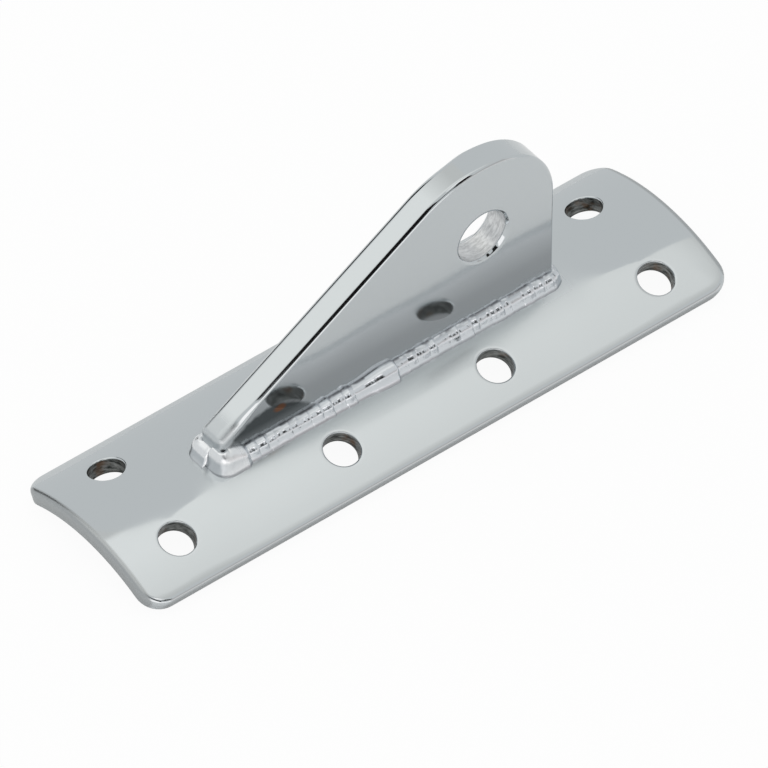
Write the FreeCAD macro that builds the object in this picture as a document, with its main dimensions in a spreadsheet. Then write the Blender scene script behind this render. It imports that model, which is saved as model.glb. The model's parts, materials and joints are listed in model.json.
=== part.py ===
import FreeCAD, Part
import math
import os

import Sketcher

# Boom vang bracket: a rolled saddle plate for a round boom tube, with an upright pin lug welded on its crown.
# Millimetres. X runs along the boom with the lug's low toe at -X, Y runs across it, Z points up.
# The origin is under the middle of the saddle, level with the two long lower edges that it stands on.
# Every body is drawn round the boom tube's axis, then lifted so that those edges lie at Z = 0.

SIZES = {
    "tube_radius": 35.0,        # boom tube that the saddle sits on
    "saddle_sheet": 3.0,        # thickness of the rolled plate
    "saddle_length": 125.0,
    "wrap_angle": 29.6,         # how far each side of the saddle reaches round the tube, in degrees
    "corner_radius": 4.6,       # rounding of the plate's four corners
    "top_edge_round": 1.1,      # polished rounding of the plate's upper edges
    "under_edge_round": 0.4,    # broken edge against the tube
    "fixing_radius": 3.25,
    "fixing_break": 0.35,       # small bevel round the top of each fixing hole
    "inner_hole": 16.3,         # from the middle of the plate, along the boom
    "outer_hole": 50.8,
    "row_angle": 15.4,          # of each row of holes round the tube, in degrees
    "row_skew": 0.95,           # how far the drilled pattern sits askew on the plate, in degrees
    "row_turn": 1.3,            # how far the drilled pattern sits round the tube towards the near side
    "lug_sheet": 5.5,           # thickness of the upright lug
    "heel_reach": 35.3,         # from the middle of the plate to the lug's upright heel edge
    "heel_round": 14.4,         # radius of the head's heel side
    "heel_round_rise": 21.7,    # its centre above the saddle's crown
    "shoulder_radius": 22.7,    # flatter radius over the top of the head
    "shoulder_turn": 78.8,      # where the two radii meet, in degrees up from the heel
    "slope_angle": 31.9,        # of the lug's long sloped top, in degrees
    "toe_reach": 36.5,          # from the middle of the plate to the lug's low end
    "toe_round": 1.65,
    "pin_along": 19.9,
    "pin_rise": 20.0,           # pin hole above the saddle's crown
    "pin_radius": 5.2,
    "pin_break": 0.5,           # bevel at both ends of the pin hole
    "lug_edge_round": 0.5,
    "weld_drop": 0.3,           # how deep the centre of each bead lies in the saddle
    "near_toe_root": 0.4,       # how deep the centre of the near toe run lies in the lug's face
    "far_toe_root": 1.4,
    "near_nose_root": 1.7,      # and in the lug's low end, where the near run starts further back
    "far_nose_root": 0.8,
    "heel_weld_root": 1.4,
    "weld_sweep": 118.0,        # how far a bead is swept round its centre, in degrees
    "toe_bead": 3.3,            # radius of the thick start that wraps the lug's toe
    "toe_bead_length": 3.3,
    "toe_meeting": 0.9,         # where the two toe beads meet, off the middle towards the near side
    "toe_run_bead": 3.0,
    "cap_bead": 3.5,            # radius of the thick stop near the middle of the lug
    "cap_length": 4.4,
    "cap_end": 0.5,             # the stop ends this far on the toe side of the middle of the plate
    "heel_run_bead": 3.1,
    "ripple_pitch": 1.8,
    "ripple_rise": 0.2,
    "ripple_lean": 0.62,        # where along a ripple its crest stands
    "bead_crown": 0.15,         # how much the thick start and the stop bulge along their length
}

doc = FreeCAD.newDocument("BoomVangBracket")
sheet = doc.addObject("Spreadsheet::Sheet", "Sizes")
for row, (alias, value) in enumerate(SIZES.items(), start=1):
    sheet.set(f"A{row}", alias)
    sheet.set(f"B{row}", str(value))
    sheet.setAlias(f"B{row}", alias)
doc.recompute()

TOLERANCE = 1e-4
PAST = 5.0                      # how far a cutting shape runs past what it cuts
CROWN = "(Sizes.tube_radius + Sizes.saddle_sheet)"
HALF_LUG = "(Sizes.lug_sheet / 2)"
# The rounded lower edge touches the ground where it faces straight down.
UNDER_CENTRE = "(Sizes.tube_radius + Sizes.under_edge_round)"
GROUND_DROP = (f"({UNDER_CENTRE} * cos(Sizes.wrap_angle * 1 deg"
               f" - asin(Sizes.under_edge_round / {UNDER_CENTRE})) - Sizes.under_edge_round)")
# The bead's centre lies inside both plates, below the line where the lug's face meets the saddle.
HEEL_RUN_OUT = f"({HALF_LUG} - Sizes.heel_weld_root)"
BEAD_HEIGHT = f"(sqrt({CROWN} * {CROWN} - {HALF_LUG} * {HALF_LUG}) - Sizes.weld_drop)"
HEEL_ROUND_ALONG = "(Sizes.heel_reach - Sizes.heel_round)"
HEEL_ROUND_HEIGHT = f"({CROWN} + Sizes.heel_round_rise)"
SHOULDER_ALONG = (f"({HEEL_ROUND_ALONG} - (Sizes.shoulder_radius - Sizes.heel_round)"
                  " * cos(Sizes.shoulder_turn * 1 deg))")
SHOULDER_HEIGHT = (f"({HEEL_ROUND_HEIGHT} - (Sizes.shoulder_radius - Sizes.heel_round)"
                   " * sin(Sizes.shoulder_turn * 1 deg))")


def size(name):
    return float(sheet.get(name))


def worked_out(expression):
    """The number that an expression on the sheet comes to, for drawing a sketch close to its final shape."""
    result = sheet.evalExpression(expression)
    return float(getattr(result, "Value", result))


def new_body(label):
    body = doc.addObject("PartDesign::Body", label)
    body.Label = label
    body.setExpression("Placement.Base.z", f"-{GROUND_DROP}")
    return body


def new_sketch(body, name, plane, along=None, up=None, out=None):
    """A sketch on one of the body's own planes, moved by expressions along its axes and its normal."""
    sketch = body.newObject("Sketcher::SketchObject", name)
    datum = next(feature for feature in body.Origin.OriginFeatures if feature.Role == plane)
    sketch.AttachmentSupport = (datum, [""])
    sketch.MapMode = "FlatFace"
    for axis, expression in (("x", along), ("y", up), ("z", out)):
        if expression:
            sketch.setExpression(f"AttachmentOffset.Base.{axis}", expression)
    return sketch


def tie(sketch, label, constraint, expression):
    """Adds a named dimension to a sketch and binds it to the sheet."""
    index = sketch.addConstraint(constraint)
    sketch.renameConstraint(index, label)
    sketch.setExpression(f"Constraints.{label}", expression)


def chain(sketch, count):
    """Joins the ends of the sketch's first edges into one closed outline."""
    for edge in range(count):
        sketch.addConstraint(Sketcher.Constraint("Coincident", edge, 2, (edge + 1) % count, 1))


def arc_about(centre, radius, start, end):
    circle = Part.Circle(FreeCAD.Vector(*centre, 0), FreeCAD.Vector(0, 0, 1), radius)
    return Part.ArcOfCircle(circle, math.radians(start), math.radians(end))


def line(start, end):
    return Part.LineSegment(FreeCAD.Vector(*start, 0), FreeCAD.Vector(*end, 0))


def circle_in(sketch, radius, radius_cell, at=(0, 0), at_cells=None):
    """A circle in a sketch, at the sketch's origin or at a place that the sheet gives."""
    sketch.addGeometry(Part.Circle(FreeCAD.Vector(*at, 0), FreeCAD.Vector(0, 0, 1), radius))
    tie(sketch, "radius", Sketcher.Constraint("Radius", 0, radius), radius_cell)
    if at_cells is None:
        sketch.addConstraint(Sketcher.Constraint("Coincident", 0, 3, -1, 1))
        return
    tie(sketch, "along", Sketcher.Constraint("DistanceX", -1, 1, 0, 3, at[0]), at_cells[0])
    tie(sketch, "rise", Sketcher.Constraint("DistanceY", -1, 1, 0, 3, at[1]), at_cells[1])


def pad_both_ways(body, sketch, length_cell):
    pad = body.newObject("PartDesign::Pad", sketch.Name + "Pad")
    pad.Profile = sketch
    pad.Midplane = True
    pad.setExpression("Length", length_cell)
    doc.recompute()
    return pad


def pocket(body, sketch, length_cell=None):
    """Cuts right through both ways, or outwards along the sketch's normal by the length given."""
    before = body.Shape.Volume
    cut = body.newObject("PartDesign::Pocket", sketch.Name + "Cut")
    cut.Profile = sketch
    if length_cell:
        cut.Reversed = True
        cut.setExpression("Length", length_cell)
    else:
        cut.Type = "ThroughAll"
        cut.Midplane = True
    doc.recompute()
    if not body.Shape.Volume < before - TOLERANCE:
        raise RuntimeError(f"{cut.Name} removes nothing")
    return cut


def edges_where(feature, test):
    return [f"Edge{number}" for number, edge in enumerate(feature.Shape.Edges, start=1) if test(edge)]


def soften(body, kind, name, edges, property_name, cell):
    """A fillet or chamfer on the named edges of the body's last feature."""
    if not edges:
        raise RuntimeError(f"{name} finds no edge")
    base = body.Tip
    feature = body.newObject("PartDesign::" + kind, name)
    feature.Base = (base, edges)
    feature.setExpression(property_name, cell)
    doc.recompute()
    return feature


def tube_distance(point):
    return math.hypot(point.y, point.z)


def lies_at_radius(edge, radius):
    return all(abs(tube_distance(point) - radius) < TOLERANCE for point in edge.discretize(7))


def saddle_plate():
    """Sheet rolled to the tube, with rounded corners, polished edges and two rows of radial holes."""
    body = new_body("saddle_plate")
    inner = size("tube_radius")
    outer = inner + size("saddle_sheet")
    wrap = size("wrap_angle")
    section = new_sketch(body, "SaddleSection", "YZ_Plane")
    ends = [(radius * math.sin(math.radians(turn)), radius * math.cos(math.radians(turn)))
            for radius in (outer, inner) for turn in (wrap, -wrap)]
    section.addGeometry(arc_about((0, 0), outer, 90 - wrap, 90 + wrap))
    section.addGeometry(line(ends[1], ends[3]))
    section.addGeometry(arc_about((0, 0), inner, 90 - wrap, 90 + wrap))
    section.addGeometry(line(ends[2], ends[0]))
    for arc, before, after in ((0, (3, 2), (1, 1)), (2, (3, 1), (1, 2))):
        section.addConstraint(Sketcher.Constraint("Coincident", arc, 3, -1, 1))
        section.addConstraint(Sketcher.Constraint("Coincident", arc, 1, *before))
        section.addConstraint(Sketcher.Constraint("Coincident", arc, 2, *after))
    section.addConstraint(Sketcher.Constraint("Symmetric", 0, 1, 0, 2, -2))
    section.addConstraint(Sketcher.Constraint("PointOnObject", -1, 1, 1))
    section.addConstraint(Sketcher.Constraint("PointOnObject", -1, 1, 3))
    tie(section, "outer_radius", Sketcher.Constraint("Radius", 0, outer), CROWN)
    tie(section, "inner_radius", Sketcher.Constraint("Radius", 2, inner), "Sizes.tube_radius")
    tie(section, "chord", Sketcher.Constraint("DistanceX", 0, 2, 0, 1, 2 * ends[0][0]),
        f"2 * {CROWN} * sin(Sizes.wrap_angle * 1 deg)")
    plate = pad_both_ways(body, section, "Sizes.saddle_length")

    end = size("saddle_length") / 2
    corners = edges_where(plate, lambda edge: all(abs(abs(point.x) - end) < TOLERANCE
                                                  for point in edge.discretize(3))
                          and abs(edge.Length - size("saddle_sheet")) < TOLERANCE)
    rounded = soften(body, "Fillet", "CornerRounds", corners, "Radius", "Sizes.corner_radius")
    rim = edges_where(rounded, lambda edge: lies_at_radius(edge, outer))
    polished = soften(body, "Fillet", "TopEdgeRound", rim, "Radius", "Sizes.top_edge_round")
    lower_rim = edges_where(polished, lambda edge: lies_at_radius(edge, inner))
    soften(body, "Fillet", "UnderEdgeRound", lower_rim, "Radius", "Sizes.under_edge_round")

    for side in (-1, 1):
        for place, sign in (("outer_hole", -1), ("inner_hole", -1), ("inner_hole", 1), ("outer_hole", 1)):
            fixing_hole(body, side, place, sign)
    before_bevels = body.Tip
    hole_rims = edges_where(before_bevels, lambda edge: edge.isClosed() and lies_at_radius(edge, outer))
    soften(body, "Chamfer", "FixingBevels", hole_rims, "Size", "Sizes.fixing_break")
    return body


def fixing_hole(body, side, place, sign):
    """One hole drilled square to the saddle. The whole pattern sits a little askew on the rolled plate."""
    name = f"{'Near' if side < 0 else 'Far'}{'Toe' if sign < 0 else 'Heel'}{place.split('_')[0].title()}"
    row = f"({side} * Sizes.row_angle)"
    station = f"({sign} * Sizes.{place})"
    skew = "(Sizes.row_skew * 1 deg)"
    arc = f"({row} * pi / 180 * {CROWN})"
    sketch = new_sketch(body, name, "XY_Plane", along=f"{station} * cos({skew}) + {arc} * sin({skew})")
    sketch.AttachmentOffset = FreeCAD.Placement(FreeCAD.Vector(), FreeCAD.Rotation(FreeCAD.Vector(1, 0, 0), 1))
    sketch.setExpression("AttachmentOffset.Rotation.Angle",
                         f"{station} * sin({skew}) * 180 / pi / {CROWN} - {row} * cos({skew}) + Sizes.row_turn")
    circle_in(sketch, size("fixing_radius"), "Sizes.fixing_radius")
    pocket(body, sketch, f"{CROWN} + {PAST}")


def seat_on_saddle(body):
    """Cuts a body's foot to the round top of the saddle."""
    sketch = new_sketch(body, body.Name + "_seat", "YZ_Plane")
    circle_in(sketch, size("tube_radius") + size("saddle_sheet"), CROWN)
    return pocket(body, sketch)


def pin_lug():
    """Upright plate: straight heel, head of two radii, long sloped top and a short upright nose at the toe."""
    body = new_body("pin_lug")
    crown = worked_out(CROWN)
    heel = size("heel_reach")
    heel_centre = (worked_out(HEEL_ROUND_ALONG), worked_out(HEEL_ROUND_HEIGHT))
    shoulder_centre = (worked_out(SHOULDER_ALONG), worked_out(SHOULDER_HEIGHT))
    shoulder = size("shoulder_radius")
    turn = size("shoulder_turn")
    lean = 90 + size("slope_angle")
    slope = math.radians(size("slope_angle"))
    nose_round = size("toe_round")
    toe = -size("toe_reach")
    foot = crown - PAST / 2
    top = (shoulder_centre[0] - shoulder * math.sin(slope), shoulder_centre[1] + shoulder * math.cos(slope))
    slope_end_x = toe + nose_round - nose_round * math.sin(slope)
    slope_end = (slope_end_x, top[1] - (top[0] - slope_end_x) * math.tan(slope))
    nose_centre = (toe + nose_round, slope_end[1] - nose_round * math.cos(slope))

    profile = new_sketch(body, "LugProfile", "XZ_Plane")
    profile.addGeometry(line((heel, foot), (heel, heel_centre[1])))
    profile.addGeometry(arc_about(heel_centre, size("heel_round"), 0, turn))
    profile.addGeometry(arc_about(shoulder_centre, shoulder, turn, lean))
    profile.addGeometry(line(top, slope_end))
    profile.addGeometry(arc_about(nose_centre, nose_round, lean, 180))
    profile.addGeometry(line((toe, nose_centre[1]), (toe, foot)))
    profile.addGeometry(line((toe, foot), (heel, foot)))
    for first in range(5):
        profile.addConstraint(Sketcher.Constraint("Tangent", first, 2, first + 1, 1))
    profile.addConstraint(Sketcher.Constraint("Coincident", 5, 2, 6, 1))
    profile.addConstraint(Sketcher.Constraint("Coincident", 6, 2, 0, 1))
    profile.addConstraint(Sketcher.Constraint("Vertical", 0))
    profile.addConstraint(Sketcher.Constraint("Vertical", 5))
    profile.addConstraint(Sketcher.Constraint("Horizontal", 6))
    tie(profile, "heel_round", Sketcher.Constraint("Radius", 1, size("heel_round")), "Sizes.heel_round")
    tie(profile, "heel_along", Sketcher.Constraint("DistanceX", -1, 1, 1, 3, heel_centre[0]), HEEL_ROUND_ALONG)
    tie(profile, "heel_height", Sketcher.Constraint("DistanceY", -1, 1, 1, 3, heel_centre[1]), HEEL_ROUND_HEIGHT)
    tie(profile, "shoulder_radius", Sketcher.Constraint("Radius", 2, shoulder), "Sizes.shoulder_radius")
    tie(profile, "shoulder_height", Sketcher.Constraint("DistanceY", -1, 1, 2, 3, shoulder_centre[1]),
        SHOULDER_HEIGHT)
    tie(profile, "toe_round", Sketcher.Constraint("Radius", 4, nose_round), "Sizes.toe_round")
    tie(profile, "toe_reach", Sketcher.Constraint("DistanceX", 5, 2, -1, 1, -toe), "Sizes.toe_reach")
    tie(profile, "foot", Sketcher.Constraint("DistanceY", -1, 1, 6, 2, foot), f"{CROWN} - {PAST / 2}")
    tie(profile, "slope_start", Sketcher.Constraint("DistanceY", -1, 1, 3, 1, top[1]),
        f"{SHOULDER_HEIGHT} + Sizes.shoulder_radius * cos(Sizes.slope_angle * 1 deg)")
    pad_both_ways(body, profile, "Sizes.lug_sheet")
    seat_on_saddle(body)

    pin = new_sketch(body, "PinHole", "XZ_Plane")
    pin_at = (size("pin_along"), crown + size("pin_rise"))
    circle_in(pin, size("pin_radius"), "Sizes.pin_radius", pin_at,
              ("Sizes.pin_along", f"{CROWN} + Sizes.pin_rise"))
    drilled = pocket(body, pin)

    half = size("lug_sheet") / 2

    def on_a_face(edge):
        return all(abs(abs(point.y) - half) < TOLERANCE for point in edge.discretize(5))

    def round_the_pin(edge):
        return all(abs(math.hypot(point.x - pin_at[0], point.z - pin_at[1]) - size("pin_radius")) < TOLERANCE
                   for point in edge.discretize(5))

    pin_rims = edges_where(drilled, lambda edge: on_a_face(edge) and round_the_pin(edge))
    bevelled = soften(body, "Chamfer", "PinBevels", pin_rims, "Size", "Sizes.pin_break")
    pin_reach = size("pin_radius") + size("pin_break")

    def clear_of_pin(edge):
        return all(math.hypot(point.x - pin_at[0], point.z - pin_at[1]) > pin_reach + TOLERANCE
                   for point in edge.discretize(5))

    def above_foot(edge):
        return edge.BoundBox.ZMax > crown + TOLERANCE

    outline = edges_where(bevelled, lambda edge: on_a_face(edge) and clear_of_pin(edge) and above_foot(edge))
    soften(body, "Fillet", "LugEdgeRound", outline, "Radius", "Sizes.lug_edge_round")
    return body


def revolve(body, sketch, axis, angle_cell, backwards):
    feature = body.newObject("PartDesign::Revolution", sketch.Name + "Turn")
    feature.Profile = sketch
    feature.ReferenceAxis = (sketch, [axis])
    feature.Reversed = backwards
    feature.setExpression("Angle", angle_cell)
    doc.recompute()
    return feature


def bead(body, name, plane, start, height, out, length_cell, bead_cell, rise_cell, backwards, count_cell=None):
    """One ripple of a weld run: a long rise and a short fall swept round the run's centre line.

    It is repeated along the run if a count is given.
    """
    sketch = new_sketch(body, name, plane, along=start, up=height, out=out)
    length, radius, rise = (worked_out(cell) for cell in (length_cell, bead_cell, rise_cell))
    crest = length * size("ripple_lean")
    corners = ((0, 0), (length, 0), (length, radius), (crest, radius + rise), (0, radius))
    for number in range(5):
        sketch.addGeometry(line(corners[number], corners[(number + 1) % 5]))
    chain(sketch, 5)
    sketch.addConstraint(Sketcher.Constraint("Coincident", 0, 1, -1, 1))
    sketch.addConstraint(Sketcher.Constraint("Horizontal", 0))
    sketch.addConstraint(Sketcher.Constraint("Vertical", 1))
    sketch.addConstraint(Sketcher.Constraint("Vertical", 4))
    sketch.addConstraint(Sketcher.Constraint("Equal", 1, 4))
    tie(sketch, "pitch", Sketcher.Constraint("DistanceX", 0, 1, 0, 2, length), length_cell)
    tie(sketch, "bead", Sketcher.Constraint("DistanceY", 1, 1, 1, 2, radius), bead_cell)
    tie(sketch, "crest_along", Sketcher.Constraint("DistanceX", 0, 1, 3, 1, crest),
        f"{length_cell} * Sizes.ripple_lean")
    tie(sketch, "crest_out", Sketcher.Constraint("DistanceY", 0, 1, 3, 1, radius + rise),
        f"{bead_cell} + {rise_cell}")
    turned = revolve(body, sketch, "H_Axis", "Sizes.weld_sweep", backwards)
    if count_cell:
        pattern = body.newObject("PartDesign::LinearPattern", name + "Row")
        pattern.Originals = [turned]
        pattern.Direction = (sketch, ["H_Axis"])
        pattern.setExpression("Length", f"{length_cell} * ({count_cell} - 1)")
        pattern.setExpression("Occurrences", count_cell)
        body.Tip = pattern
        doc.recompute()


def ball_end(body, name, start, out, bead_cell, backwards):
    """The round end of a run, where the arc was lifted."""
    sketch = new_sketch(body, name, "XZ_Plane", along=start, up=BEAD_HEIGHT, out=out)
    radius = worked_out(bead_cell)
    sketch.addGeometry(line((0, 0), (radius, 0)))
    sketch.addGeometry(arc_about((0, 0), radius, 0, 90))
    sketch.addGeometry(line((0, radius), (0, 0)))
    chain(sketch, 3)
    sketch.addConstraint(Sketcher.Constraint("Coincident", 0, 1, -1, 1))
    sketch.addConstraint(Sketcher.Constraint("Coincident", 1, 3, -1, 1))
    sketch.addConstraint(Sketcher.Constraint("Horizontal", 0))
    sketch.addConstraint(Sketcher.Constraint("Vertical", 2))
    tie(sketch, "bead", Sketcher.Constraint("Radius", 1, radius), bead_cell)
    revolve(body, sketch, "H_Axis", "Sizes.weld_sweep", backwards)


def corner(body, name, start, out, bead_cell, towards, backwards):
    """The quarter turn of a bead round an upright edge of the lug. It reaches below the seam by its own sink."""
    sketch = new_sketch(body, name, "XZ_Plane", along=start, up=BEAD_HEIGHT, out=out)
    radius = worked_out(bead_cell)
    below = radius / 3
    reach = math.sqrt(radius * radius - below * below)
    tilt = math.degrees(math.asin(below / radius))
    if towards < 0:
        sketch.addGeometry(arc_about((0, 0), radius, 90, 180 + tilt))
        sketch.addGeometry(line((-reach, -below), (0, -below)))
        sketch.addGeometry(line((0, -below), (0, radius)))
        chain(sketch, 3)
        foot_end, foot_start = (1, 2), (1, 1)
    else:
        sketch.addGeometry(arc_about((0, 0), radius, -tilt, 90))
        sketch.addGeometry(line((0, radius), (0, -below)))
        sketch.addGeometry(line((0, -below), (reach, -below)))
        chain(sketch, 3)
        foot_end, foot_start = (2, 1), (2, 2)
    sketch.addConstraint(Sketcher.Constraint("Coincident", 0, 3, -1, 1))
    sketch.addConstraint(Sketcher.Constraint("Horizontal", *foot_end, *foot_start))
    sketch.addConstraint(Sketcher.Constraint("PointOnObject", *foot_end, -2))
    top = (0, 1) if towards < 0 else (0, 2)
    sketch.addConstraint(Sketcher.Constraint("PointOnObject", *top, -2))
    tie(sketch, "bead", Sketcher.Constraint("Radius", 0, radius), bead_cell)
    tie(sketch, "below", Sketcher.Constraint("DistanceY", *foot_end, -1, 1, below), f"{bead_cell} / 3")
    revolve(body, sketch, "V_Axis", "90", backwards)


def clear_of_lug(body):
    """Cuts a weld back to the lug's faces, from the tube's axis up past the bead."""
    sketch = new_sketch(body, body.Name + "_root", "XY_Plane")
    toe, heel, half = size("toe_reach"), size("heel_reach"), size("lug_sheet") / 2
    corners = ((-toe, -half), (heel, -half), (heel, half), (-toe, half))
    for number in range(4):
        sketch.addGeometry(line(corners[number], corners[(number + 1) % 4]))
    chain(sketch, 4)
    for number, kind in enumerate(("Horizontal", "Vertical", "Horizontal")):
        sketch.addConstraint(Sketcher.Constraint(kind, number))
    sketch.addConstraint(Sketcher.Constraint("Symmetric", 0, 1, 2, 2, -1))
    tie(sketch, "toe", Sketcher.Constraint("DistanceX", 0, 1, -1, 1, toe), "Sizes.toe_reach")
    tie(sketch, "heel", Sketcher.Constraint("DistanceX", -1, 1, 0, 2, heel), "Sizes.heel_reach")
    tie(sketch, "thickness", Sketcher.Constraint("DistanceY", 1, 1, 1, 2, 2 * half), "Sizes.lug_sheet")
    pocket(body, sketch, HEEL_ROUND_HEIGHT)


def finish_weld(body):
    clear_of_lug(body)
    seat_on_saddle(body)
    return body


def offset_to(side, distance):
    """The offset of a lengthwise run's sketch: its plane's normal points to the near side, which is -Y."""
    return f"{-side} * {distance}"


def toe_weld(side, label, face_root, nose_root):
    """A thick start wrapped round the toe, a rippled run along the lug's foot and a thick rounded stop."""
    body = new_body(label)
    run_out = f"({HALF_LUG} - {face_root})"
    out = offset_to(side, run_out)
    backwards = side > 0
    centre_x = f"(-Sizes.toe_reach + {nose_root})"
    bead(body, label + "_start", "XZ_Plane", centre_x, BEAD_HEIGHT, out,
         f"(Sizes.toe_bead_length - {nose_root})", "Sizes.toe_bead", "Sizes.bead_crown", backwards)
    corner(body, label + "_corner", centre_x, out, "Sizes.toe_bead", -1, backwards)
    # The cross bead runs from the lug's corner to where it meets the one from the other side.
    first = f"-{run_out}" if side < 0 else "-Sizes.toe_meeting"
    length = f"({run_out} {'-' if side < 0 else '+'} Sizes.toe_meeting)"
    bead(body, label + "_nose", "YZ_Plane", first, BEAD_HEIGHT, centre_x,
         length, "Sizes.toe_bead", "Sizes.bead_crown", True)
    run_start = "(-Sizes.toe_reach + Sizes.toe_bead_length)"
    run_end = "(-Sizes.cap_end - Sizes.cap_length)"
    run_length = f"({run_end} - {run_start})"
    count = f"round({run_length} / Sizes.ripple_pitch)"
    bead(body, label + "_run", "XZ_Plane", run_start, BEAD_HEIGHT, out,
         f"({run_length} / {count})", "Sizes.toe_run_bead", "Sizes.ripple_rise", backwards, count)
    bead(body, label + "_stop", "XZ_Plane", run_end, BEAD_HEIGHT, out,
         "(Sizes.cap_length - Sizes.cap_bead / 2)", "Sizes.cap_bead", "Sizes.bead_crown", backwards)
    ball_end(body, label + "_end", "(-Sizes.cap_end - Sizes.cap_bead / 2)", out, "Sizes.cap_bead", backwards)
    return finish_weld(body)


def heel_weld(side, label):
    """A thinner rippled run from under the stop to the heel, and round the corner to the lug's middle."""
    body = new_body(label)
    out = offset_to(side, HEEL_RUN_OUT)
    backwards = side > 0
    start = "(-Sizes.cap_end - Sizes.cap_bead / 2)"
    centre_x = "(Sizes.heel_reach - Sizes.heel_weld_root)"
    run_length = f"({centre_x} - {start})"
    count = f"round({run_length} / Sizes.ripple_pitch)"
    bead(body, label + "_run", "XZ_Plane", start, BEAD_HEIGHT, out,
         f"({run_length} / {count})", "Sizes.heel_run_bead", "Sizes.ripple_rise", backwards, count)
    corner(body, label + "_corner", centre_x, out, "Sizes.heel_run_bead", 1, not backwards)
    first = f"-{HEEL_RUN_OUT}" if side < 0 else "0"
    bead(body, label + "_cross", "YZ_Plane", first, BEAD_HEIGHT, centre_x,
         HEEL_RUN_OUT, "Sizes.heel_run_bead", "Sizes.ripple_rise", False)
    return finish_weld(body)


def overlaid(body, label, over):
    """A run that a later run lies over: what the later one covers is cut away."""
    cut = doc.addObject("Part::Cut", label + "_overlaid")
    cut.Base = body
    cut.Tool = over
    body.Label = label + "_whole"
    cut.Label = label
    doc.recompute()
    return cut


def build():
    near_toe = toe_weld(-1, "weld_near_toe", "Sizes.near_toe_root", "Sizes.near_nose_root")
    far_toe = toe_weld(1, "weld_far_toe", "Sizes.far_toe_root", "Sizes.far_nose_root")
    far_toe = overlaid(far_toe, "weld_far_toe", near_toe)
    near_heel = overlaid(heel_weld(-1, "weld_near_heel"), "weld_near_heel", near_toe)
    far_heel = overlaid(heel_weld(1, "weld_far_heel"), "weld_far_heel", far_toe)
    return [saddle_plate(), pin_lug(), near_toe, near_heel, far_toe, far_heel]


def write(pieces):
    doc.recompute()
    for item in doc.Objects:
        if "Invalid" in item.State or "Error" in item.State:
            raise RuntimeError(f"{item.Label} failed: {item.State}")
    for piece in pieces:
        if piece.Shape.isNull() or not piece.Shape.isValid() or len(piece.Shape.Solids) != 1:
            raise RuntimeError(f"{piece.Label} is not one valid solid")
    os.makedirs("parts", exist_ok=True)
    for piece in pieces:
        piece.Shape.exportStep(f"parts/{piece.Label}.step")
        box = piece.Shape.BoundBox
        print(piece.Label, round(piece.Shape.Volume, 2), [round(value, 3) for value in (
            box.XMin, box.XMax, box.YMin, box.YMax, box.ZMin, box.ZMax)])


write(build())
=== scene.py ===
import json
import math

import bmesh
import bpy
import numpy as np
from mathutils import Matrix, Vector
from mathutils.geometry import delaunay_2d_cdt


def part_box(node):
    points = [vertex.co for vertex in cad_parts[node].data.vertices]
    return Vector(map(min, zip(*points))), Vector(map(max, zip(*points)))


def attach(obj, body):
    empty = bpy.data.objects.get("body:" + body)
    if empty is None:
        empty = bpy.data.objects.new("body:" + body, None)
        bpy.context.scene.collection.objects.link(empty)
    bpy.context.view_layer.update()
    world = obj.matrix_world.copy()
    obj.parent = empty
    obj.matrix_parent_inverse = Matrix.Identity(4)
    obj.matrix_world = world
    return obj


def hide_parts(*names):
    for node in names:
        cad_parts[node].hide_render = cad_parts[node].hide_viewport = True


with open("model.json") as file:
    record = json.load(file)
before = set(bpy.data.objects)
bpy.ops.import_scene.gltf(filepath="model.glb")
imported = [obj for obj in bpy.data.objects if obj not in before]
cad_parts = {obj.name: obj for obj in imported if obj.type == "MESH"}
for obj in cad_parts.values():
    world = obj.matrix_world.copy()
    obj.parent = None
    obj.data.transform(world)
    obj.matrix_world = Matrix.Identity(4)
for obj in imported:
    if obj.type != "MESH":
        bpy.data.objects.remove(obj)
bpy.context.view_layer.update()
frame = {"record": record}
record = frame["record"]
mounts = {mount["name"]: mount for mount in record["mounts"]}

# Saddle plate: stainless sheet rolled to the boom tube, its edges and corners rounded on a
# polishing wheel and its eight fixing holes drilled square to the curve. It is drawn flat, as
# along, round and above the sheet's outer face in millimetres, and then rolled round the tube.

MM = 0.001
saddle_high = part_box("saddle_plate")[1]
crown = saddle_high.z / MM
tube_radius = mounts["saddle_face"]["dims"]["r_mm"]
saddle_sheet = 3.0
outer_radius = tube_radius + saddle_sheet
half_length = saddle_high.x / MM
wrap_angle = math.radians(29.6)
half_girth = outer_radius * wrap_angle
corner_radius = 4.6
top_edge_round = 1.1
under_edge_round = 0.4
fixing_break = 0.35
polish_roll = 0.2
polish_roll_width = 3.2
weld_pull = 0.145
weld_pull_reach = 36.0
weld_pull_fade = 15.0
face_insets = (2.0, 1.7, 1.4)
edge_steps = 8
break_steps = 4
wall_steps = 5
satin_across = (11.5, 6.0)
satin_along = (44.0, 37.0)
dull_end = (half_length - 1.2, half_length - 0.8)
dull_side = (wrap_angle - 0.014, wrap_angle - 0.005)
polished_tone = (0.58, 0.612, 0.63)
darker_edge_tone = (0.41, 0.43, 0.44)


def rolled(along, around, above):
    """A point of the flat sheet, rolled round the boom tube."""
    turn = around / outer_radius
    radius = outer_radius + above
    return (along, radius * math.sin(turn), crown - outer_radius + radius * math.cos(turn))


def inside(point, outline):
    """Whether a flat point lies inside a closed outline."""
    x, y = point
    crossings = 0
    for (x1, y1), (x2, y2) in zip(outline, outline[1:] + outline[:1]):
        if (y1 > y) != (y2 > y) and x < x1 + (x2 - x1) * (y - y1) / (y2 - y1):
            crossings += 1
    return crossings % 2 == 1


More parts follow.
